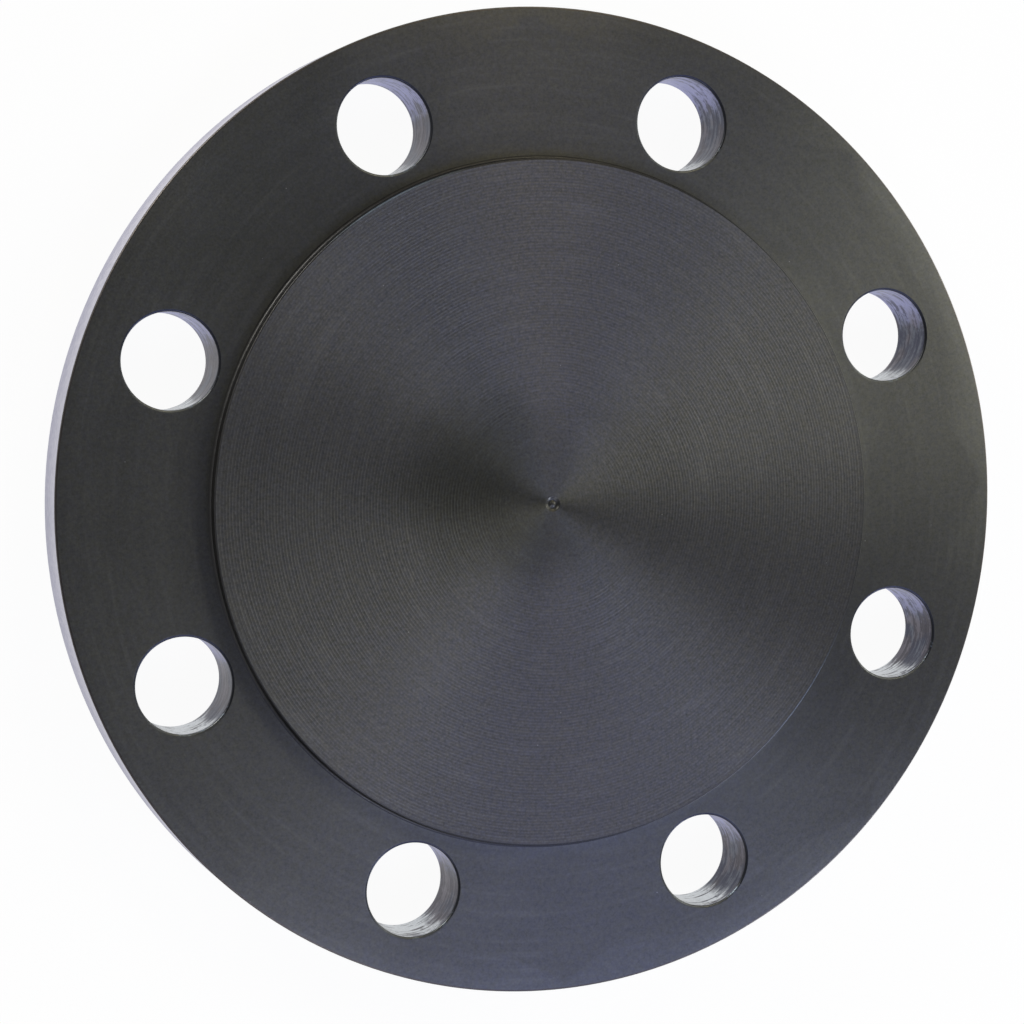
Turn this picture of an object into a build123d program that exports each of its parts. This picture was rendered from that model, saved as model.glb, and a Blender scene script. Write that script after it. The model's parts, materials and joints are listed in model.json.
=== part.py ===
"""Blind flange: a forged and turned steel disc that closes the end of a flanged pipe.

It is one piece of metal. The bolt ring carries eight through holes, and the raised face
on its front presses the gasket. The part lies on its back face: the origin is the centre
of that face, and +Z is the flange's axis, out of the raised face. Sizes are millimetres.
"""

import os

from build123d import *

# Drilling, for M20 bolts
bolt_circle_diameter = 190.0
bolt_hole_diameter = 22.0
bolt_hole_count = 8
bolt_hole_edge_break = 0.5

# Bolt ring: the metal outside the holes, and its thickness
hole_to_rim_land = 9.0
ring_thickness = 15.0
rim_edge_break = 0.5

# Raised face: the room that it leaves beside the holes, and its step
hole_to_step_land = 4.0
raised_face_height = 3.0
raised_face_edge_break = 0.4
step_root_radius = 0.8

# Mark that the facing tool leaves on the axis: a shallow ring groove round a pip
mark_mouth_diameter = 3.4
mark_floor_diameter = 2.6
mark_depth = 0.4
pip_base_diameter = 1.6
pip_top_diameter = 0.8
pip_height = 0.3

# Places that follow from the sizes: the rim is 230 across and the raised face 160
bolt_circle_radius = bolt_circle_diameter / 2
bolt_hole_radius = bolt_hole_diameter / 2
outside_radius = bolt_circle_radius + bolt_hole_radius + hole_to_rim_land
raised_face_radius = bolt_circle_radius - bolt_hole_radius - hole_to_step_land
face_level = ring_thickness + raised_face_height
mark_floor_level = face_level - mark_depth
pip_top_level = mark_floor_level + pip_height
holes_straddle_angle = 360 / bolt_hole_count / 2

os.makedirs("parts", exist_ok=True)

with BuildPart() as blind_flange:
    # The blank: a stepped half section, turned round the flange's axis
    with BuildSketch(Plane.XZ):
        with BuildLine():
            Polyline(
                (0, 0),
                (outside_radius, 0),
                (outside_radius, ring_thickness),
                (raised_face_radius, ring_thickness),
                (raised_face_radius, face_level),
                (0, face_level),
                close=True,
            )
        make_face()
    revolve(axis=Axis.Z)

    # The blank's circles come in two groups: the step's pair, then the rim's pair
    turned_edges = blind_flange.edges().filter_by(GeomType.CIRCLE).group_by(SortBy.RADIUS)
    step_root, raised_face_edge = turned_edges[0].sort_by(Axis.Z)
    rim_edges = turned_edges[-1]
    fillet(step_root, radius=step_root_radius)
    chamfer(raised_face_edge, length=raised_face_edge_break)
    chamfer(rim_edges, length=rim_edge_break)

    # Bolt holes straddle both centre lines, and both mouths of each are deburred
    with PolarLocations(bolt_circle_radius, bolt_hole_count, holes_straddle_angle):
        Hole(bolt_hole_radius)
    hole_mouths = blind_flange.edges(Select.LAST).filter_by(GeomType.CIRCLE)
    chamfer(hole_mouths, length=bolt_hole_edge_break)

    # Centre mark: the groove's wall and the pip's side both slope
    with BuildSketch(Plane.XZ):
        with BuildLine():
            Polyline(
                (0, face_level),
                (mark_mouth_diameter / 2, face_level),
                (mark_floor_diameter / 2, mark_floor_level),
                (pip_base_diameter / 2, mark_floor_level),
                (pip_top_diameter / 2, pip_top_level),
                (0, pip_top_level),
                close=True,
            )
        make_face()
    revolve(axis=Axis.Z, mode=Mode.SUBTRACT)

blind_flange.part.label = "blind_flange"
export_step(blind_flange.part, "parts/blind_flange.step")
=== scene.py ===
# %% [markdown]
# # A turned steel blind flange
#
# A blind flange closes the end of a pipe. A lathe makes it: the blank turns, and the tool
# moves slowly across it, so every surface carries fine circular marks. On the raised
# face those marks are one long spiral groove, which grips the gasket. A drill then makes
# the bolt holes, and its marks run round each hole.
#
# The look has three steps, and this file takes them in that order: a mesh with the real
# groove in it, steels whose marks follow the turning, and soft light that shows them.
#
# The first step is always the same. The imported solid is loaded as a fixed frame, and its
# box is kept.

# %% Load the frame
import json
import math
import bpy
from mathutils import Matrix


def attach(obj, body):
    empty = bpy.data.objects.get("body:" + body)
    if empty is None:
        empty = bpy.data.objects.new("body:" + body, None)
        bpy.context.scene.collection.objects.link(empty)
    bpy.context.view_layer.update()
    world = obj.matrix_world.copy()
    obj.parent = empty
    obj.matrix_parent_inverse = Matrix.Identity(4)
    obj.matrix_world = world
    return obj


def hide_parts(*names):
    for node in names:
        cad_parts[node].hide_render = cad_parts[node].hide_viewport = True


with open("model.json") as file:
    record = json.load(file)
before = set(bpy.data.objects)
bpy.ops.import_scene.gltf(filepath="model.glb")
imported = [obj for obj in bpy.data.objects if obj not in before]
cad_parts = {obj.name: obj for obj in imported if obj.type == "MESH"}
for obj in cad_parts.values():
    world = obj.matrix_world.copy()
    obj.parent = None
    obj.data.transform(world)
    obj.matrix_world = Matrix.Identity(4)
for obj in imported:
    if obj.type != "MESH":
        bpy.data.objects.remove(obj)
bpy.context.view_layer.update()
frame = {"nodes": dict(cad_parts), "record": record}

from types import SimpleNamespace

import bpy
import numpy as np
from mathutils import Matrix, Vector

# %% [markdown]
# ## Sizes, read from the solid
#
# Nothing here repeats a size that the solid already has. Its corner points lie on circles
# round the Z axis, so two numbers for each, the reach from that axis and the level above
# the floor, are enough to find every edge. The drilling comes from the record, where it
# stands in millimetres and as a diameter of the circle of holes.

# %% Corner points and drilling
MM = 0.001
node = frame["nodes"]["blind_flange"]
corners = np.empty(len(node.data.vertices) * 3, np.float32)
node.data.vertices.foreach_get("co", corners)
corners = corners.reshape(-1, 3).astype(float)
reach = np.hypot(corners[:, 0], corners[:, 1])
level = corners[:, 2]

drilling = next(m for m in frame["record"]["mounts"] if m["name"] == "bolt_holes")["dims"]
HOLES = int(drilling["count"])
BOLT_CIRCLE = drilling["pcd_mm"] / 2 / 1000
BORE = drilling["hole_r_mm"] / 1000
print(f"{HOLES} holes of radius {BORE:.4f} at {BOLT_CIRCLE:.4f} from the axis")

# %% [markdown]
# The greatest reach is the rim, and the greatest level is the raised face. The other
# edges are the innermost or outermost points of the ones that share a level.

# %% Measure the edges
SAME = 0.001 * MM
HALF_SECTOR = math.pi / HOLES
OUTSIDE = reach.max()
FACE_LEVEL = level.max()
RING_LEVEL = level[reach > BOLT_CIRCLE + BORE].max()
STEP_WALL = reach[level > (RING_LEVEL + FACE_LEVEL) / 2].max()

on_face = level > FACE_LEVEL - SAME
FACE_EDGE = reach[on_face].max()
MARK_MOUTH = reach[on_face & (reach > 1 * MM)].min()

on_ring = np.abs(level - RING_LEVEL) < SAME
STEP_ROOT = reach[on_ring].min()
RING_EDGE = reach[on_ring].max()
hole_x = BOLT_CIRCLE * math.cos(HALF_SECTOR)
hole_y = BOLT_CIRCLE * math.sin(HALF_SECTOR)
HOLE_MOUTH = np.hypot(corners[:, 0] - hole_x, corners[:, 1] - hole_y)[on_ring].min()
print(f"outside {OUTSIDE:.4f}, ring {RING_LEVEL:.4f}, face {FACE_EDGE:.4f} at {FACE_LEVEL:.4f}")
print(f"step {STEP_WALL:.4f} to {STEP_ROOT:.4f}, hole {HOLE_MOUTH:.4f}, mark {MARK_MOUTH:.4f}")

# %% [markdown]
# ## Surfaces as grids
#
# Each surface is a grid of points: its rows follow a profile, and its columns go round.
# A whole grid is worked out at once with numpy, and a grid that closes on itself joins
# its last column to its first. One rule gives the four corners of every small face, and
# because all profiles run the same way, every face then points outwards.

# %% Grid helpers
AROUND = 256
angles = np.arange(AROUND) * (2 * math.pi / AROUND)
surfaces = []


def weave(rows, columns, climb=0):
    """Corners (i, j), (i + 1, j), (i + 1, j + 1), (i, j + 1) of each face of a closed grid.
    Where the grid closes, row i meets row i + climb, as the thread of a screw does."""
    i, j = np.mgrid[0 : rows - 1, 0:columns]
    climbed = climb * (j == columns - 1)
    beyond = (j + 1) % columns
    near = np.minimum(i + climbed, rows - 1) * columns + beyond
    far = np.minimum(i + 1 + climbed, rows - 1) * columns + beyond
    return np.stack([i * columns + j, (i + 1) * columns + j, far, near], -1)


def turned(profile):
    """A profile point at reach r and level z goes to (r cos a, r sin a, z) at every angle a."""
    r, z = np.array(profile, float).T
    x, y = np.outer(r, np.cos(angles)), np.outer(r, np.sin(angles))
    return np.stack([x, y, np.repeat(z[:, None], AROUND, 1)], -1)


def bend(start, corner, end, steps):
    """The curve (1 - t)^2 start + 2 t (1 - t) corner + t^2 end, which leaves start and meets
    end along the two sides of the corner."""
    start, corner, end = np.array([start, corner, end])
    t = np.linspace(0, 1, steps + 1)[:, None]
    return (1 - t) ** 2 * start + 2 * t * (1 - t) * corner + t**2 * end


def add_surface(points, steel, climb=0, crest=None):
    """Keeps a grid of points, with the steel of each row of faces and the crests of grooves."""
    rows, columns = points.shape[:2]
    steels = np.broadcast_to(np.array(steel), rows - 1)
    crests = np.zeros(rows, bool) if crest is None else crest
    surfaces.append((points, weave(rows, columns, climb), steels, crests))
    print(f"surface of {rows} rows and {columns} columns")


# %% [markdown]
# ## The raised face: one long groove
#
# The facing tool moves out by its feed in each turn, so its path is a spiral, and its
# rounded tip leaves a shallow trough with sharp crests on both sides. The grid copies
# that: its rows follow the spiral, and they are crest and trough in turn. One turn later,
# a row has moved out by a whole feed and meets the row two further on.
#
# Near the axis the steel passes the tool slowly, and the marks fade. The tool also never
# cuts two grooves alike, so three slow waves make some a little deeper than others.

# %% Spiral groove
GASKET, RING, EDGE, BORED, RIM, BACK = range(6)
FEED = 0.73 * MM
GROOVE_DEPTH = 0.045 * MM
ROWS_A_FEED = 2
FADING_GROOVES = 30
# share of the depth, radians a groove, start
WAVES = [(0.18, 2.1, 0.0), (0.12, 0.83, 1.0), (0.08, 5.3, 0.0)]


def spiral_face(inner, outer, top):
    """Row i lies at reach inner + feed (i / 2 - 1 + turn), where turn goes from 0 to 1 round
    the face, and is held between the inner and the outer circle. Odd rows lie lower, by a
    depth that fades to nothing at both circles and drifts a little from groove to groove."""
    turn = angles / (2 * math.pi)
    rows = np.arange(ROWS_A_FEED * (int((outer - inner) / FEED) + 3))
    grooves = rows[:, None] / ROWS_A_FEED - 1 + turn[None, :]
    r = np.clip(inner + FEED * grooves, inner, outer)
    fade_in = np.clip((r - inner) / (FADING_GROOVES * FEED), 0, 1)
    fade_out = np.clip((outer - r) / FEED, 0, 1)
    drift = 1 + sum(share * np.sin(rate * grooves + start) for share, rate, start in WAVES)
    trough = (rows % ROWS_A_FEED == 1)[:, None]
    z = top - GROOVE_DEPTH * trough * fade_in * fade_out * drift
    return np.stack([r * np.cos(angles), r * np.sin(angles), z], -1), rows % ROWS_A_FEED == 0


SPIRAL_START = MARK_MOUTH + 0.1 * MM
face_points, crest_rows = spiral_face(SPIRAL_START, FACE_EDGE, FACE_LEVEL)
add_surface(face_points, GASKET, climb=ROWS_A_FEED, crest=crest_rows)

# %% [markdown]
# ## The centre mark
#
# Where the tool stops, on the axis, it leaves a small ring groove round a pip. It is a
# profile turned round Z, and it runs from the top of the pip, through the groove and up to
# the start of the spiral.

# %% Centre mark
MARK_DEPTH = 0.4 * MM
PIP_HEIGHT = 0.3 * MM
mark_floor = FACE_LEVEL - MARK_DEPTH
pip_top = mark_floor + PIP_HEIGHT
under_face = FACE_LEVEL - 0.08 * MM
half_wall = (1.45 * MM, mark_floor + 0.2 * MM)
pip = bend((0.2 * MM, pip_top), (0.5 * MM, pip_top), (0.8 * MM, mark_floor), 4)
groove = bend((0.9 * MM, mark_floor), (1.3 * MM, mark_floor), half_wall, 3)
lip = bend((1.6 * MM, under_face), (MARK_MOUTH, FACE_LEVEL), (SPIRAL_START, FACE_LEVEL), 3)
add_surface(turned(np.concatenate([[(0, pip_top)], pip, groove, lip])), EDGE)

# %% [markdown]
# ## The step
#
# At the other end of the face, the step has a broken edge at its top and a small radius at
# its root, because no tool cuts a perfectly sharp corner. A broken edge is a bend from one
# surface to the other, and so is the radius.

# %% Step
STEP_BEND = 5
WALL_DEPTHS = [0.8 * MM, 1.5 * MM]
break_level = FACE_LEVEL - (STEP_WALL - FACE_EDGE)
root_level = RING_LEVEL + (STEP_ROOT - STEP_WALL)
step = np.concatenate([
    bend((FACE_EDGE, FACE_LEVEL), (STEP_WALL, FACE_LEVEL), (STEP_WALL, break_level), STEP_BEND),
    [(STEP_WALL, FACE_LEVEL - depth) for depth in WALL_DEPTHS],
    bend((STEP_WALL, root_level), (STEP_WALL, RING_LEVEL), (STEP_ROOT, RING_LEVEL), STEP_BEND),
])
add_surface(turned(step), EDGE)

# %% [markdown]
# ## The bolt ring: one wedge for each hole
#
# A round hole in a flat ring needs points that run from a small circle to a wedge. So the
# ring is cut into as many equal sectors as there are holes. In each one, the same columns
# start on the back, go down to the hole, up through it, and out again over the front,
# until they meet the neighbour's.

# %% Wedge
IN_SECTOR = AROUND // HOLES
ROUND_HOLE = 3 * IN_SECTOR


def sector_edge():
    """The wedge round a hole, anticlockwise: outer arc, far side, inner arc, near side."""
    arc = np.arange(IN_SECTOR) / IN_SECTOR
    side = np.arange(IN_SECTOR // 2) / (IN_SECTOR // 2)
    end = np.ones_like(side)
    swing = np.concatenate([2 * arc - 1, end, 1 - 2 * arc, -end]) * HALF_SECTOR
    inward = np.concatenate([0 * arc, side, 1 + 0 * arc, 1 - side])
    r = RING_EDGE + (STEP_ROOT - RING_EDGE) * inward
    return r * np.cos(swing), r * np.sin(swing)


edge_x, edge_y = sector_edge()
print(f"{HOLES} wedges, each with {len(edge_x)} points round it")

# %% [markdown]
# The hole's own wall is not perfectly smooth: the drill feeds forward as it turns, and
# its wall has shallow rings. Two waves along the level make them, and each hole shifts
# them, so that no two holes are alike. The rows keep to the hole's circle on the wall, and
# on the front and the back they spread to the wedge in three steps.

# %% Drilled sectors
WALL_ROWS = 19
LIP_BEND = 3
WAY_OUT = np.array([0.012, 0.3, 1.0])
# height in metres, metres of level for one radian, radians from hole to hole
WALL_WAVES = [(0.014 * MM, 2.3 * MM / (2 * math.pi), 1.9), (0.008 * MM, 0.9 * MM, 0.7)]


def hole_profile(hole):
    """The hole's radius, the level, and the share s of the way out to the wedge, by rows:
    the back, the lower lip, the wall with its waves, the upper lip, and the front."""
    edge_break = HOLE_MOUTH - BORE
    wall = np.linspace(edge_break, RING_LEVEL - edge_break, WALL_ROWS + 2)[1:-1]
    waves = sum(tall * np.sin(wall / long + start * hole) for tall, long, start in WALL_WAVES)
    lip = bend((HOLE_MOUTH, 0), (BORE, 0), (BORE, edge_break), LIP_BEND)
    flat = np.full(len(WAY_OUT), HOLE_MOUTH)
    radius = np.concatenate([flat, lip[:, 0], BORE + waves, lip[::-1, 0], flat])
    back, front = np.zeros_like(flat), np.full_like(flat, RING_LEVEL)
    z = np.concatenate([back, lip[:, 1], wall, RING_LEVEL - lip[::-1, 1], front])
    s = np.concatenate([WAY_OUT[::-1], np.zeros(len(radius) - 2 * len(WAY_OUT)), WAY_OUT])
    return radius, z, s[:, None]


def drilled_sector(hole):
    """Point (row, column) is (1 - s) of a point of the hole's circle plus s of a point of the
    wedge, turned by the hole's angle. The first column lies a sixth of a turn before the
    line from the axis through the hole."""
    radius, z, s = hole_profile(hole)
    around = np.arange(ROUND_HOLE) * (2 * math.pi / ROUND_HOLE) - math.pi / 3
    x = (1 - s) * (BOLT_CIRCLE + np.outer(radius, np.cos(around))) + s * edge_x
    y = (1 - s) * np.outer(radius, np.sin(around)) + s * edge_y
    cos, sin = math.cos((2 * hole + 1) * HALF_SECTOR), math.sin((2 * hole + 1) * HALF_SECTOR)
    steps = len(WAY_OUT)
    wall = len(radius) - 1 - 2 * steps - LIP_BEND
    steel = np.repeat([BACK, BORED, EDGE, RING], [steps, wall, LIP_BEND, steps])
    z = np.repeat(z[:, None], ROUND_HOLE, 1)
    return np.stack([x * cos - y * sin, x * sin + y * cos, z], -1), steel


for hole in range(HOLES):
    add_surface(*drilled_sector(hole))

# %% [markdown]
# ## The rim and the back
#
# The outside is a plain turned cylinder with a broken edge at each end. The back rests
# on the floor and is simply faced flat, so a few circles are enough for it.

# %% Rim and back
RIM_BEND = 4
RIM_ROWS = 11
BACK_CIRCLES = [0.06, 0.04, 0.02, 0.006, 0]
rim_break = OUTSIDE - RING_EDGE
rim_top = RING_LEVEL - rim_break
rim_wall = np.linspace(rim_top, rim_break, RIM_ROWS + 2)[1:-1]
rim = np.concatenate([
    bend((RING_EDGE, RING_LEVEL), (OUTSIDE, RING_LEVEL), (OUTSIDE, rim_top), RIM_BEND),
    np.stack([np.full_like(rim_wall, OUTSIDE), rim_wall], -1),
    bend((OUTSIDE, rim_break), (OUTSIDE, 0), (RING_EDGE, 0), RIM_BEND),
])
add_surface(turned(rim), [EDGE] * RIM_BEND + [RIM] * (len(rim) - 1 - RIM_BEND))
add_surface(turned([(circle, 0) for circle in [STEP_ROOT, *BACK_CIRCLES]]), BACK)

# %% [markdown]
# ## One mesh
#
# Neighbouring grids share their edge points, so points that agree to a ten-thousandth of
# a millimetre become one. Where a row shrinks to a point, as on the axis, two corners of
# a face fall together, and the face becomes a triangle or goes.
#
# The groove's crests are marked sharp, so that smooth shading stops at them.

# %% Weld the surfaces
# metres
AGREE = 1e-7
# keeps round numbers away from the border between two places
OFF_BORDER = 0.137


def weld():
    """All grids as one list of points and one list of faces, with coinciding points merged."""
    points = np.concatenate([p.reshape(-1, 3) for p, _, _, _ in surfaces])
    starts = np.cumsum([0] + [p.shape[0] * p.shape[1] for p, _, _, _ in surfaces[:-1]])
    quads = [f.reshape(-1, 4) + start for (_, f, _, _), start in zip(surfaces, starts)]
    steels = np.concatenate([np.repeat(s, f.shape[1]) for _, f, s, _ in surfaces])
    crests = np.concatenate([np.repeat(c, p.shape[1]) for p, _, _, c in surfaces])
    places = np.round(points / AGREE + OFF_BORDER).astype(np.int64)
    _, first, merged = np.unique(places, axis=0, return_index=True, return_inverse=True)
    return points[first], merged.ravel()[np.concatenate(quads)], steels, crests[first]


def split_faces(quads, steels):
    """Four different corners stay a quad, three make a triangle, and fewer make no face."""
    same = quads == np.roll(quads, -1, axis=1)
    whole = same.sum(1) == 0
    slim = same.sum(1) == 1
    triangles = quads[slim][~same[slim]].reshape(-1, 3)
    steels = np.concatenate([steels[whole], steels[slim]])
    return quads[whole].tolist() + triangles.tolist(), steels


points, quads, steels, crests = weld()
faces, face_steels = split_faces(quads, steels)
mesh = bpy.data.meshes.new("turned_flange")
mesh.from_pydata(points.tolist(), [], faces, shade_flat=False)
mesh.polygons.foreach_set("material_index", face_steels.astype(np.int32))
ends = np.empty(len(mesh.edges) * 2, np.int32)
mesh.edges.foreach_get("vertices", ends)
ends = ends.reshape(-1, 2)
sharp = mesh.attributes.new("sharp_edge", "BOOLEAN", "EDGE")
sharp.data.foreach_set("value", crests[ends[:, 0]] & crests[ends[:, 1]])
mesh.update()
print(f"{len(points)} points, {len(faces)} faces")

# %% [markdown]
# A closed mesh has exactly two triangles at every side. The volume inside it, a sixth of
# the sum of a . (b x c) over the triangles, is positive when they all face outwards. It
# should be a little less than the solid's, because the groove takes some metal away.
#
# The finished mesh then rides on the fixed frame's body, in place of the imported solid.

# %% Check and place the mesh
mesh.calc_loop_triangles()
triangles = np.empty(len(mesh.loop_triangles) * 3, np.int32)
mesh.loop_triangles.foreach_get("vertices", triangles)
triangles = triangles.reshape(-1, 3)
sides = np.sort(triangles[:, [[0, 1], [1, 2], [2, 0]]].reshape(-1, 2), axis=1)
open_sides = np.sum(np.unique(sides, axis=0, return_counts=True)[1] != 2)
a, b, c = (points[triangles[:, k]] for k in range(3))
volume = (a * np.cross(b, c)).sum() / 6
print(f"{len(triangles)} triangles, {open_sides} open sides, {volume / MM**3:.0f} cubic mm")

flange = bpy.data.objects.new("turned_flange", mesh)
bpy.context.scene.collection.objects.link(flange)
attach(flange, "root")
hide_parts("blind_flange")

# %% [markdown]
# ## Shader sums in plain Python
#
# A material is a net of small nodes. It reads more easily as sums, so one class stands
# for an output socket, and adding or multiplying two of them adds the Math node that does
# it. Its tree's other nodes come from one method, which sets a node up and wires it.

# %% A socket that can be calculated with
class Wire:
    """An output socket of a shader node, on which plain arithmetic adds Math nodes."""

    def __init__(self, bench, socket):
        self.bench = bench
        self.socket = socket

    def also(self, out):
        """Another output of the same node."""
        return Wire(self.bench, self.socket.node.outputs[out])

    def __add__(self, other):
        return self.bench.sum("ADD", self, other)

    def __sub__(self, other):
        return self.bench.sum("SUBTRACT", self, other)

    def __rsub__(self, other):
        return self.bench.sum("SUBTRACT", other, self)

    def __mul__(self, other):
        return self.bench.sum("MULTIPLY", self, other)

    def __truediv__(self, other):
        return self.bench.sum("DIVIDE", self, other)

    def __pow__(self, other):
        return self.bench.sum("POWER", self, other)

    __radd__ = __add__
    __rmul__ = __mul__


# %% [markdown]
# The bench holds the tree. Blender wants a fourth number, the alpha, after each colour,
# so a plain colour of three numbers gets its alpha here, and nowhere else.

# %% A bench for node trees
class Bench:
    """A node tree, the one method that adds any node to it, and the nodes used most."""

    def __init__(self, tree):
        self.tree = tree
        tree.nodes.clear()

    def node(self, kind, settings, sockets, out=0):
        """Adds a node, sets it up, and gives each of the sockets its value or its link."""
        made = self.tree.nodes.new(kind)
        for name, value in settings.items():
            setattr(made, name, value)
        for name, value in sockets.items():
            if isinstance(value, Wire):
                self.tree.links.new(value.socket, made.inputs[name])
            elif made.inputs[name].type == "RGBA":
                made.inputs[name].default_value = (*value, 1)
            else:
                made.inputs[name].default_value = value
        return None if out is None else Wire(self, made.outputs[out])

    def sum(self, operation, first, second=0.0):
        return self.node("ShaderNodeMath", {"operation": operation}, {0: first, 1: second})

    def between(self, value, low, high):
        """0 below low, 1 above high, and a soft rise between; low may be the higher one."""
        soft = {"interpolation_type": "SMOOTHSTEP"}
        return self.node("ShaderNodeMapRange", soft, {0: value, 1: low, 2: high})

    def blend(self, share, first, second, how="MIX"):
        """The colour first where share is 0, and second where it is 1."""
        settings = {"data_type": "RGBA", "blend_type": how}
        return self.node("ShaderNodeMix", settings, {0: share, 6: first, 7: second}, out=2)

    def noise(self, place, cell, detail=2.0, rough=0.5):
        """Soft noise round 0.5, in cells of a size that counts in the units of place."""
        sockets = {"Vector": place, "Scale": 1 / cell, "Detail": detail, "Roughness": rough}
        return self.node("ShaderNodeTexNoise", {}, sockets)

    def vector(self, x, y, z):
        return self.node("ShaderNodeCombineXYZ", {}, {0: x, 1: y, 2: z})

    def bump(self, height, depth):
        """A normal that tilts as if height, from 0 to 1, raised the surface by up to depth."""
        sockets = {"Strength": 1.0, "Distance": depth, "Height": height}
        return self.node("ShaderNodeBump", {}, sockets)


# %% [markdown]
# All the steels begin and end alike: an empty net, and a metallic shader that stretches
# its highlights across the marks of the tool.

# %% Start and end of a steel
def new_material(name):
    """An empty node material with a bench for it."""
    material = bpy.data.materials.new(name)
    material.use_nodes = True
    return material, Bench(material.node_tree)


QUARTER_TURN = 0.25


def finish_steel(bench, anisotropy, **sockets):
    """Ends the net in a metallic Principled shader. Its highlights stretch across the marks:
    left alone, the shader's grain runs round Z, and a quarter turn lays them across it."""
    sockets = {name.replace("_", " "): value for name, value in sockets.items()}
    sockets |= {"Metallic": 1.0, "Anisotropic": anisotropy}
    sockets["Anisotropic Rotation"] = QUARTER_TURN
    shader = bench.node("ShaderNodeBsdfPrincipled", {}, sockets)
    bench.node("ShaderNodeOutputMaterial", {}, {"Surface": shader}, out=None)


# %% [markdown]
# ## Where a point of the steel lies
#
# Turned marks follow circles, so the patterns need the reach from the axis and the
# direction round it, not X and Y. The direction is kept as a cosine and a sine, because
# an angle would jump where it starts again and leave a seam. The holes need the same
# numbers round their own axes: folding all sectors onto one finds the nearest hole.

# %% Round coordinates
NOT_ZERO = 1e-6


def place_on_flange(bench):
    """The point, its reach r = (x^2 + y^2)^0.5, and (cos, sin) = (x, y) / r."""
    point = bench.node("ShaderNodeTexCoord", {}, {}, out="Object")
    x = bench.node("ShaderNodeSeparateXYZ", {}, {0: point})
    y, z = x.also(1), x.also(2)
    r = (x * x + y * y) ** 0.5
    cos, sin = x / (r + NOT_ZERO), y / (r + NOT_ZERO)
    return SimpleNamespace(point=point, x=x, y=y, z=z, r=r, cos=cos, sin=sin)


def place_at_hole(bench, at):
    """The sector's number, and the point's reach and direction from that sector's hole:
    the angle counted in sectors splits into a whole number and a swing round the hole's line.
    Turned back by the sector's angle, the direction also gives its shares of +Y and +X."""
    sectors = bench.sum("ARCTAN2", at.y, at.x) * (HOLES / (2 * math.pi))
    sector = bench.sum("FLOOR", sectors)
    swing = (sectors - sector - 0.5) * (2 * math.pi / HOLES)
    across = at.r * bench.sum("COSINE", swing) - BOLT_CIRCLE
    along = at.r * bench.sum("SINE", swing)
    r = (across * across + along * along) ** 0.5
    cos, sin = across / (r + NOT_ZERO), along / (r + NOT_ZERO)
    turn = (sector + 0.5) * (2 * math.pi / HOLES)
    turn_cos, turn_sin = bench.sum("COSINE", turn), bench.sum("SINE", turn)
    up = cos * turn_sin + sin * turn_cos
    right = cos * turn_cos - sin * turn_sin
    return SimpleNamespace(sector=sector, r=r, cos=cos, sin=sin, up=up, right=right)


def round_marks(bench, across, at, spacing, drift, detail=3.0, rough=0.5, shift=0.0):
    """Noise round an axis: it changes over one spacing of the value across, and in about
    6 drift cells all the way round. Another shift gives another noise."""
    place = bench.vector(across * (1 / spacing) + shift, at.cos * drift, at.sin * drift)
    return bench.noise(place, 1.0, detail, rough)


# %% [markdown]
# ## Parts of a face's colour
#
# Turned steel is dark here, from the oil that keeps rust away. Its grey shifts a little
# between warm and cold, a few grains of dust lie on it, and some wide places are darker,
# with no sharp edge.

# %% Grey, dust and smudges
DARK_PATCH = (0.030, 0.031, 0.020)
DUST = (0.4, 0.4, 0.4)
DUST_CELL = 3 * MM
GRAIN_CORE, GRAIN_EDGE = 0.03, 0.06


def tinted(bench, tint, greys, shade):
    """The blend of a warm and a cold grey by tint, times shade."""
    shades = bench.node("ShaderNodeCombineColor", {}, {0: shade, 1: shade, 2: shade})
    return bench.blend(1.0, bench.blend(tint, *greys), shades, how="MULTIPLY")


def dust_on(bench, point, share):
    """Small round grains in a share of the cells: 1 in a grain's core and 0 beyond its edge,
    which count in cells from its centre."""
    sockets = {"Vector": point, "Scale": 1 / DUST_CELL}
    spots = bench.node("ShaderNodeTexVoronoi", {"feature": "F1"}, sockets)
    pick = bench.node("ShaderNodeSeparateColor", {}, {0: spots.also("Color")})
    grain = bench.between(spots, GRAIN_EDGE, GRAIN_CORE)
    return grain * bench.sum("LESS_THAN", pick, share)


def soft_patch(bench, at, place, reach, ragged):
    """1 at a place, falling to 0 over its reach, with an edge made ragged by a noise. Place
    and reach are millimetres."""
    across, along = at.x - place[0] * MM, at.y - place[1] * MM
    away = (across * across + along * along) ** 0.5 + ragged * (reach * MM)
    return bench.between(away, reach * MM, 0.0)


# %% [markdown]
# ## The steel of a turned face
#
# The steel is metallic and its roughness is stretched: light scatters far across the
# marks and hardly along them. That alone makes the bright and dark sectors that meet at
# the centre, and they move with the lamps, as on the real face.
#
# The marks differ in size. The spiral's troughs are painted darker than its crests, a
# painted shade in the groove. Broader bands come from small changes in the cut. Both run
# round, so both use the round coordinates. The grain and the stains of the steel know
# nothing of the turning, so they use the plain point. Each pattern is a noise less its
# mean, so the number after it is its share of the shade.
#
# Bare metal turns mirror-bright at a glancing angle, but an oiled face stays dull. The
# shader's specular tint is that reflection's share, and it changes nothing seen from above.

# %% Face steel
GLANCING = (0.45, 0.45, 0.45)
SPIRAL_FADE = (6 * MM, 40 * MM)
MARK_SPACING, BAND_SPACING, ARC_SPACING = 0.3 * MM, 2.6 * MM, 1.5 * MM
FINE_CELL, COARSE_CELL, TINT_CELL, STAIN_CELL = 0.5 * MM, 0.9 * MM, 1.1 * MM, 22 * MM
DUSTY_SHARE, DUST_COVER = 0.08, 0.5
FACE_RELIEF = 0.01 * MM


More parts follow.
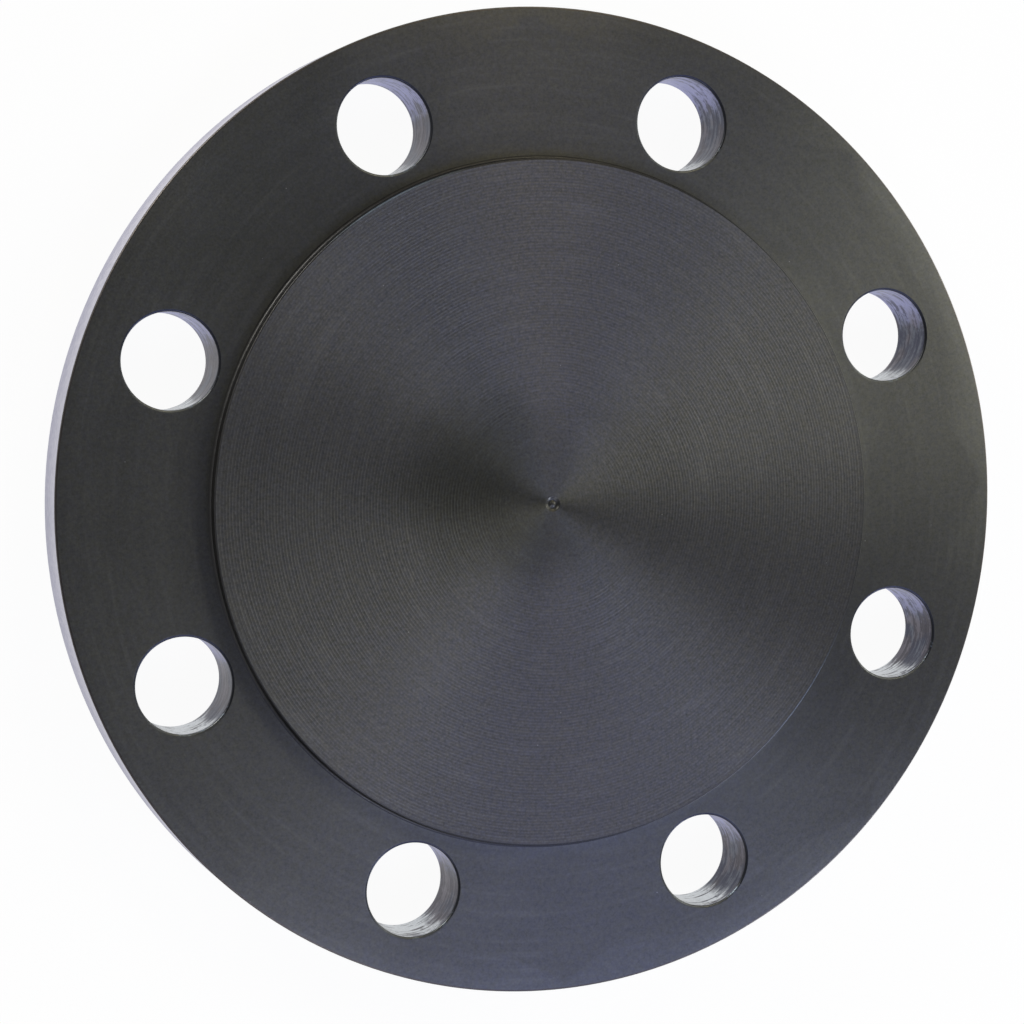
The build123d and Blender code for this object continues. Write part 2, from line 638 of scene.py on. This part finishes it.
def crest_of_spiral(bench, at):
    """Cosine of 2 pi (r - start) / feed - angle: 1 on the crests and -1 in the troughs of the
    groove, and fading towards the axis as the groove does."""
    turns = (at.r - SPIRAL_START) * (2 * math.pi / FEED)
    crest = bench.sum("COSINE", turns - bench.sum("ARCTAN2", at.y, at.x))
    return crest * bench.between(at.r, *SPIRAL_FADE)


def face_steel(name, rough, anisotropy, greys, grain, spiral=0.0, dark_patches=()):
    """A turned face. Grain is the strength of its speckle, spiral that of the painted shade in
    the troughs, and each dark patch has a place and a reach in millimetres, and a depth of
    shade."""
    steel, bench = new_material(name)
    at = place_on_flange(bench)
    marks = round_marks(bench, at.r, at, MARK_SPACING, 5.0) - 0.5
    bands = round_marks(bench, at.r, at, BAND_SPACING, 1.6, detail=2.0, shift=40.0) - 0.5
    arcs = round_marks(bench, at.r, at, ARC_SPACING, 4.0, detail=1.0, shift=90.0)
    fine = bench.noise(at.point, FINE_CELL, 1.0) - 0.5
    coarse = bench.noise(at.point, COARSE_CELL) - 0.5
    stains = bench.noise(at.point, STAIN_CELL, 3.0) - 0.5
    tint = bench.between(bench.noise(at.point, TINT_CELL, 3.0), 0.25, 0.75)

    shade = 1.0 + marks * 0.08 + bands * 0.10 + bench.between(arcs, 0.55, 0.75) * 0.10
    shade = shade + stains * 0.20 + (fine + coarse) * (0.7 * grain)
    # painted shade: the spiral's troughs darker than its crests
    if spiral:
        shade = shade + crest_of_spiral(bench, at) * (spiral * (1.0 + fine * 5.0))
    colour = tinted(bench, tint, greys, shade)
    # darker soft patches at the listed places
    for place, reach, depth in dark_patches:
        colour = bench.blend(soft_patch(bench, at, place, reach, stains) * depth, colour, DARK_PATCH)
    dust = dust_on(bench, at.point, DUSTY_SHARE)
    colour = bench.blend(dust * DUST_COVER, colour, DUST)
    roughness = rough + marks * 0.04 + fine * 0.05 + bands * 0.05
    normal = bench.bump(marks + bands * 2.0, FACE_RELIEF)
    sockets = {"Base_Color": colour, "Roughness": roughness, "Normal": normal}
    finish_steel(bench, anisotropy, Specular_Tint=GLANCING, **sockets)
    return steel


# %% [markdown]
# The gasket face is rougher than the ring, because its groove is cut with a faster feed.
# Its middle is darker in some wide, soft places, and so is the ring at its upper left.

# %% The two faces in front
GASKET_GREYS = [(0.103, 0.101, 0.096), (0.097, 0.098, 0.107)]
RING_GREYS = [(0.103, 0.103, 0.094), (0.098, 0.099, 0.102)]
GASKET_DARK_PATCHES = [((-6, 4), 46, 0.20), ((-17, 8), 30, 0.42), ((-3, -9), 14, 0.28)]
RING_DARK_PATCHES = [((-67, 70), 55, 0.26)]
GASKET_FINISH = {"rough": 0.50, "anisotropy": 0.75, "grain": 0.9, "spiral": 0.07}
RING_FINISH = {"rough": 0.42, "anisotropy": 0.60, "grain": 0.6}
mesh.materials.append(face_steel(
    "gasket_face_steel", greys=GASKET_GREYS, dark_patches=GASKET_DARK_PATCHES, **GASKET_FINISH))
mesh.materials.append(face_steel(
    "ring_face_steel", greys=RING_GREYS, dark_patches=RING_DARK_PATCHES, **RING_FINISH))
print("steels", [steel.name for steel in mesh.materials])

# %% [markdown]
# ## The steel of the broken edges
#
# Every edge has been broken with a small flat. The edges are dark, and draw a thin dark
# line round the step and the holes; on the step's left side the line is painted lighter,
# a painted light. Painted glints make them bright: on the step at two places, and on the
# mouth of each hole at its lower right. The lower side of a mouth is painted pale, a
# painted highlight, and the upper side bluer, a painted reflection.

# %% Edge steel
EDGE_DARK, EDGE_LEFT_PAINTED_LIGHT = (0.040, 0.040, 0.042), (0.078, 0.077, 0.078)
MOUTH_DARK, MOUTH_PAINTED_LIGHT = (0.038, 0.040, 0.046), (0.105, 0.110, 0.115)
MOUTH_PAINTED_REFLECTION = (0.036, 0.038, 0.052)
CENTRE_MARK = (0.062, 0.062, 0.060)
RIM_EDGE = (0.080, 0.074, 0.072)
# colour of the painted glints on the edges
EDGE_PAINTED_GLINT = (0.19, 0.23, 0.29)
PATCH_CELL, NICK_CELL = 7 * MM, 1.2 * MM
EDGE_RELIEF = 0.05 * MM
# painted glints on the step's edge
# place and reach in millimetres, and share
PAINTED_GLINT_PLACES = [((-36, 71), 22, 1.0), ((64, -48), 26, 0.30)]


def edge_colour(bench, at, hole, at_mouth):
    """The edges' colour by place: the step, then the mouths, the centre mark and the rim."""
    # painted highlight: the lower side of each mouth paler
    mouth = bench.blend(bench.between(hole.up, -0.5, -0.85), MOUTH_DARK, MOUTH_PAINTED_LIGHT)
    # painted light: the step's edge lighter on its left side
    step = bench.blend(bench.between(at.cos, -0.78, -0.96), EDGE_DARK, EDGE_LEFT_PAINTED_LIGHT)
    colour = bench.blend(at_mouth, step, mouth)
    colour = bench.blend(bench.between(at.r, 6 * MM, 3 * MM), colour, CENTRE_MARK)
    # painted reflection: the upper side of each mouth bluer
    painted_mouth_reflection = at_mouth * bench.between(hole.up, 0.2, 0.8)
    colour = bench.blend(painted_mouth_reflection, colour, MOUTH_PAINTED_REFLECTION)
    return bench.blend(bench.between(at.r, RING_EDGE - 0.5 * MM, RING_EDGE), colour, RIM_EDGE)


def edge_steel(name):
    """Dark edges with painted glints, above the step's root at two places and at the lower
    right of the mouths."""
    steel, bench = new_material(name)
    at = place_on_flange(bench)
    hole = place_at_hole(bench, at)
    patches = bench.noise(at.point, PATCH_CELL, 3.0) - 0.5
    nicks = bench.noise(at.point, NICK_CELL) - 0.5
    # painted glint: brighter at the listed places on the step's edge
    painted_glint = 0.0
    for place, reach, share in PAINTED_GLINT_PLACES:
        painted_glint = painted_glint + soft_patch(bench, at, place, reach, patches * 0.5) * share
    above_root = bench.between(at.z, RING_LEVEL + 1.0 * MM, RING_LEVEL + 1.8 * MM)
    at_mouth = bench.between(hole.r, HOLE_MOUTH + 1.0 * MM, HOLE_MOUTH)
    # painted glints at the lower right of each mouth
    lower_right = hole.right * 0.5 - hole.up * 0.85 + nicks * 1.6 + patches * 0.8
    painted_mouth_glint = at_mouth * bench.between(lower_right, 0.95, 1.25) * 0.6
    bare_and_painted_light = bench.sum("MINIMUM", painted_glint * above_root + painted_mouth_glint, 1.0)
    colour = bench.blend(bare_and_painted_light, edge_colour(bench, at, hole, at_mouth), EDGE_PAINTED_GLINT)
    roughness = 0.42 - bare_and_painted_light * 0.08 + nicks * 0.2
    normal = bench.bump(nicks, EDGE_RELIEF)
    finish_steel(bench, 0.3, Base_Color=colour, Roughness=roughness, Normal=normal)
    return steel


mesh.materials.append(edge_steel("broken_edge_steel"))
print("steels", [steel.name for steel in mesh.materials])

# %% [markdown]
# ## The steel of the holes
#
# These walls are bare and brighter. A drill leaves rings that run round the hole, and
# bolts have scuffed them, so the pattern changes quickly with the level and slowly round
# the hole. Some streaks are rubbed bright, and some are stained by oil. The upper side of
# every hole is painted lighter and bluer, a painted light, and along the lowest strip a
# painted highlight makes the metal almost white.

# %% Hole steel
WALL_OIL = [(0.032, 0.035, 0.062), (0.045, 0.041, 0.055)]
WALL_BARE = [(0.100, 0.110, 0.140), (0.125, 0.116, 0.140)]
TOP_OIL_PAINTED_LIGHT, TOP_BARE_PAINTED_LIGHT = (0.060, 0.065, 0.135), (0.27, 0.28, 0.48)
LOWEST_PAINTED_GLINT = (0.62, 0.65, 0.68)
RING_SPACING, SCUFF_SPACING, TONE_SPACING = 1.0 * MM, 2.2 * MM, 5 * MM
SPECKLE_CELL = 0.45 * MM
HOLE_RELIEF = 0.04 * MM


def bored_steel(name):
    """Streaks of oil and of bare metal, chosen by rings and scuffs, in tones that depend on the
    side of the hole: painted light makes the upper side lighter and bluer, and the lowest strip
    almost white."""
    steel, bench = new_material(name)
    at = place_on_flange(bench)
    hole = place_at_hole(bench, at)
    rings = round_marks(bench, at.z, hole, RING_SPACING, 1.6, shift=hole.sector * 7.3)
    scuffs = round_marks(bench, at.z, hole, SCUFF_SPACING, 4.5, 5.0, 0.7, hole.sector * 3.1)
    tones = round_marks(bench, at.z, hole, TONE_SPACING, 1.8, 2.0, shift=hole.sector * 5.7)
    speckle = bench.noise(at.point, SPECKLE_CELL) - 0.5
    tint = bench.between(tones, 0.4, 0.6)
    # painted light: the upper side of each hole lighter and bluer
    top = bench.between(hole.up + (scuffs - 0.5) * 0.8, 0.05, 0.80)
    # painted highlight: the lowest strip of each hole almost white
    lowest = bench.between(hole.up + (scuffs - 0.5) * 0.7, -0.70, -0.94)
    front = bench.between(at.z, 0.45 * RING_LEVEL, RING_LEVEL)

    streaks = rings * 0.5 + scuffs * 0.5 + top * 0.05 + lowest * 0.07 - front * 0.03
    clean = bench.between(streaks, 0.45, 0.57)
    oil = bench.blend(top, bench.blend(tint, *WALL_OIL), TOP_OIL_PAINTED_LIGHT)
    bare_and_painted_light = bench.blend(top, bench.blend(tint, *WALL_BARE), TOP_BARE_PAINTED_LIGHT)
    bare_and_painted_light = bench.blend(lowest, bare_and_painted_light, LOWEST_PAINTED_GLINT)
    colour = bench.blend(clean * 0.95 + 0.03 + speckle * 0.8, oil, bare_and_painted_light)
    roughness = 0.36 + (scuffs - 0.5) * 0.3 + speckle * 0.15
    normal = bench.bump(rings + scuffs * 0.5 + speckle * 0.3, HOLE_RELIEF)
    finish_steel(bench, 0.5, Base_Color=colour, Roughness=roughness, Normal=normal)
    return steel


mesh.materials.append(bored_steel("bored_steel"))
print("steels", [steel.name for steel in mesh.materials])

# %% [markdown]
# ## The steel of the rim, and the back
#
# The rim has rings too, in short pieces, and a soft mottle. It is darker towards the back.
# The back is a face like the ring, with no dark patches.

# %% Rim steel
RIM_GREYS = [(0.31, 0.31, 0.41), (0.54, 0.53, 0.60)]
BACK_GREYS = [(0.103, 0.102, 0.095), (0.098, 0.099, 0.105)]
RIM_SPACING, MOTTLE_CELL, RAGGED_BY = 0.8 * MM, 1.4 * MM, 5 * MM
RIM_RELIEF = 0.03 * MM


def rim_steel(name):
    """A bright turned wall: half of its shade is rings and mottle, and half is the level."""
    steel, bench = new_material(name)
    at = place_on_flange(bench)
    rings = round_marks(bench, at.z, at, RIM_SPACING, 14.0)
    mottle = bench.noise(at.point, MOTTLE_CELL, 3.0, 0.6)
    ragged_level = at.z + (mottle - 0.5) * RAGGED_BY
    front = bench.between(ragged_level, 0.2 * RING_LEVEL, 0.95 * RING_LEVEL)
    shade = bench.between(mottle * 0.6 + rings * 0.4, 0.3, 0.7) * 0.5 + front * 0.5
    colour = bench.blend(shade, *RIM_GREYS)
    roughness = 0.42 + (rings - 0.5) * 0.2
    normal = bench.bump(rings + mottle * 0.5, RIM_RELIEF)
    finish_steel(bench, 0.5, Base_Color=colour, Roughness=roughness, Normal=normal)
    return steel


mesh.materials.append(rim_steel("rim_steel"))
mesh.materials.append(face_steel("back_face_steel", greys=BACK_GREYS, **RING_FINISH))
print("steels", [steel.name for steel in mesh.materials])

# %% [markdown]
# ## A paper sweep for floor and backdrop
#
# The flange lies on white paper that curves up behind it on all sides, so no view shows an
# edge. It is a disc with a raised border, and it lies a hair under the flange, so that no
# renderer has to choose between two surfaces in one place.

# %% Paper sweep
FLAT_REACH, WALL_REACH, WALL_HEIGHT = 3.0, 4.0, 1.0
FLAT_CIRCLES = [0.0, 0.3, 1.0]
PAPER_LEVEL = -0.05 * MM
BORDER_STEPS = 12
PAPER_COLUMNS = 64


def paper_sweep(name):
    """A disc whose border rises in a quarter curve: level = height (1 - (1 - s^2)^0.5), where s
    goes from 0 at the disc's border to 1 at the wall."""
    s = np.linspace(0, 1, BORDER_STEPS + 1)
    out = np.concatenate([FLAT_CIRCLES, FLAT_REACH + (WALL_REACH - FLAT_REACH) * s])
    rise = WALL_HEIGHT * (1 - np.sqrt(1 - s**2))
    up = np.concatenate([np.zeros(len(FLAT_CIRCLES)), rise]) + PAPER_LEVEL
    t = np.arange(PAPER_COLUMNS) * (2 * math.pi / PAPER_COLUMNS)
    x, y = np.outer(out, np.cos(t)), np.outer(out, np.sin(t))
    spots = np.stack([x, y, np.repeat(up[:, None], PAPER_COLUMNS, 1)], -1).reshape(-1, 3)
    places, merged = np.unique(np.round(spots, 6) + 0.0, axis=0, return_inverse=True)
    quads = merged.ravel()[weave(len(out), PAPER_COLUMNS).reshape(-1, 4)]
    faces, _ = split_faces(quads, np.zeros(len(quads), int))
    sheet = bpy.data.meshes.new(name)
    sheet.from_pydata(places.tolist(), [], faces, shade_flat=False)
    return sheet


sweep_mesh = paper_sweep("paper_sweep")
print(f"paper of {len(sweep_mesh.polygons)} faces")

# %% [markdown]
# Paper that is lit enough to look white would also throw light about, so for the camera,
# and for the reflections in the steel, most of its white is set by hand. The rest stays
# plain lit paper, and keeps the flange's shadow. From below the sheet is clear, so that
# the back can be seen too.

# %% White paper
PAPER_GREY = (0.85, 0.85, 0.85)
WHITE = (1, 1, 1)
SET_BY_HAND = 0.95


def white_paper(name):
    """Plain paper mixed with an even white, for the rays that show it: from the camera
    directly, or by way of a reflection or a clear body."""
    paper, bench = new_material(name)
    ray = bench.node("ShaderNodeLightPath", {}, {}, out="Is Camera Ray")
    showing = ray + ray.also("Is Glossy Ray") + ray.also("Is Transmission Ray")
    seen = bench.sum("MINIMUM", showing, 1.0)
    plain = bench.node("ShaderNodeBsdfDiffuse", {}, {"Color": PAPER_GREY})
    white = bench.node("ShaderNodeEmission", {}, {"Color": WHITE, "Strength": 1.0})
    above = bench.node("ShaderNodeMixShader", {}, {0: seen * SET_BY_HAND, 1: plain, 2: white})
    clear = bench.node("ShaderNodeBsdfTransparent", {}, {"Color": WHITE})
    underneath = bench.node("ShaderNodeNewGeometry", {}, {}, out="Backfacing")
    one_sided = bench.node("ShaderNodeMixShader", {}, {0: underneath, 1: above, 2: clear})
    bench.node("ShaderNodeOutputMaterial", {}, {"Surface": one_sided}, out=None)
    return paper


sweep_mesh.materials.append(white_paper("white_paper"))
sweep = bpy.data.objects.new("paper_sweep", sweep_mesh)
bpy.context.scene.collection.objects.link(sweep)

# %% [markdown]
# ## Soft light
#
# Turned steel shows a lamp as a pair of bright sectors, opposite each other, and their
# direction tells where the lamp is. So each sector of the real face was traced to a lamp.
# The powers come from one rule: white card lying on the face would look just white, and
# every lamp gives a share of that. The air, which lights from all sides, gives the rest.

# %% Lamps
LAMP_DISTANCE = 1.4
# name, azimuth and elevation in degrees, size, and the shares of red, green and blue
LAMPS = [
    ("cold_lamp", 300.0, 50.0, 0.80, (0.092, 0.106, 0.191)),
    ("right_lamp", 12.0, 28.0, 0.80, (0.220, 0.217, 0.185)),
    ("front_lamp", 260.0, 42.0, 0.48, (0.137, 0.140, 0.160)),
    ("warm_lamp", 68.0, 37.0, 0.48, (0.119, 0.104, 0.066)),
    ("low_right_lamp", 317.0, 14.5, 0.48, (0.105, 0.112, 0.134)),
    ("low_left_lamp", 129.0, 14.5, 0.48, (0.153, 0.148, 0.132)),
]


def toward(azimuth, elevation):
    """The direction (cos a cos e, sin a cos e, sin e) of azimuth a and elevation e."""
    a, e = math.radians(azimuth), math.radians(elevation)
    return Vector((math.cos(a) * math.cos(e), math.sin(a) * math.cos(e), math.sin(e)))


def soft_lamp(name, azimuth, elevation, size, shares):
    """A round lamp that faces the flange. A card's light is power sin(elevation) divided by
    pi^2 distance^2, so the power is that sum turned round for the lamp's greatest share."""
    light = bpy.data.lights.new(name, "AREA")
    light.shape = "DISK"
    light.size = size
    light.color = [share / max(shares) for share in shares]
    card = max(shares) * math.pi**2 * LAMP_DISTANCE**2
    light.energy = card / math.sin(math.radians(elevation))
    lamp = bpy.data.objects.new(name, light)
    bpy.context.scene.collection.objects.link(lamp)
    direction = toward(azimuth, elevation)
    lamp.location = direction * LAMP_DISTANCE + Vector((0, 0, FACE_LEVEL))
    lamp.rotation_mode = "QUATERNION"
    lamp.rotation_quaternion = direction.to_track_quat("Z", "Y")
    print(f"{name} of {light.energy:.2f} watts")


for lamp_row in LAMPS:
    soft_lamp(*lamp_row)

# %% [markdown]
# The air is the world's plain colour. It fills the dark sectors between the lamps.

# %% World
AIR = (0.184, 0.183, 0.181)
world = bpy.data.worlds.new("studio_air")
world.use_nodes = True
world_bench = Bench(world.node_tree)
air = world_bench.node("ShaderNodeBackground", {}, {"Color": AIR, "Strength": 1.0})
world_bench.node("ShaderNodeOutputWorld", {}, {"Surface": air}, out=None)
bpy.context.scene.world = world
print("air", AIR)

# %% [markdown]
# ## Camera
#
# The camera was fitted to the rim, the eight holes and the step. It looks down on the face
# from a little to the left, so a strip of the rim shows there and the holes' right walls
# show. Three turns take the flange's frame to the camera's. In that frame, AWAY is the
# place of the ring's centre, counted in outside radii.

# %% Camera
# radians round X, Y and Z
TILT, TURN, ROLL = 0.05295, 0.32096, math.radians(2.106)
AWAY = Vector((0.07439, 0.01729, -5.37312)) * OUTSIDE
SENSOR = 36
PICTURE = 1024
FOCAL_PIXELS = 2646.22

tilt, turn = Matrix.Rotation(TILT, 3, "X"), Matrix.Rotation(TURN, 3, "Y")
from_camera = (tilt @ turn @ Matrix.Rotation(ROLL, 3, "Z")).transposed()
eye = from_camera @ -AWAY + Vector((0, 0, RING_LEVEL))
camera_data = bpy.data.cameras.new("camera")
camera_data.sensor_width = SENSOR
camera_data.lens = FOCAL_PIXELS * SENSOR / PICTURE
camera = bpy.data.objects.new("camera", camera_data)
bpy.context.scene.collection.objects.link(camera)
camera.matrix_world = Matrix.Translation(eye) @ from_camera.to_4x4()
bpy.context.scene.camera = camera
bpy.context.scene.view_settings.view_transform = "Standard"
print("camera at", list(eye))
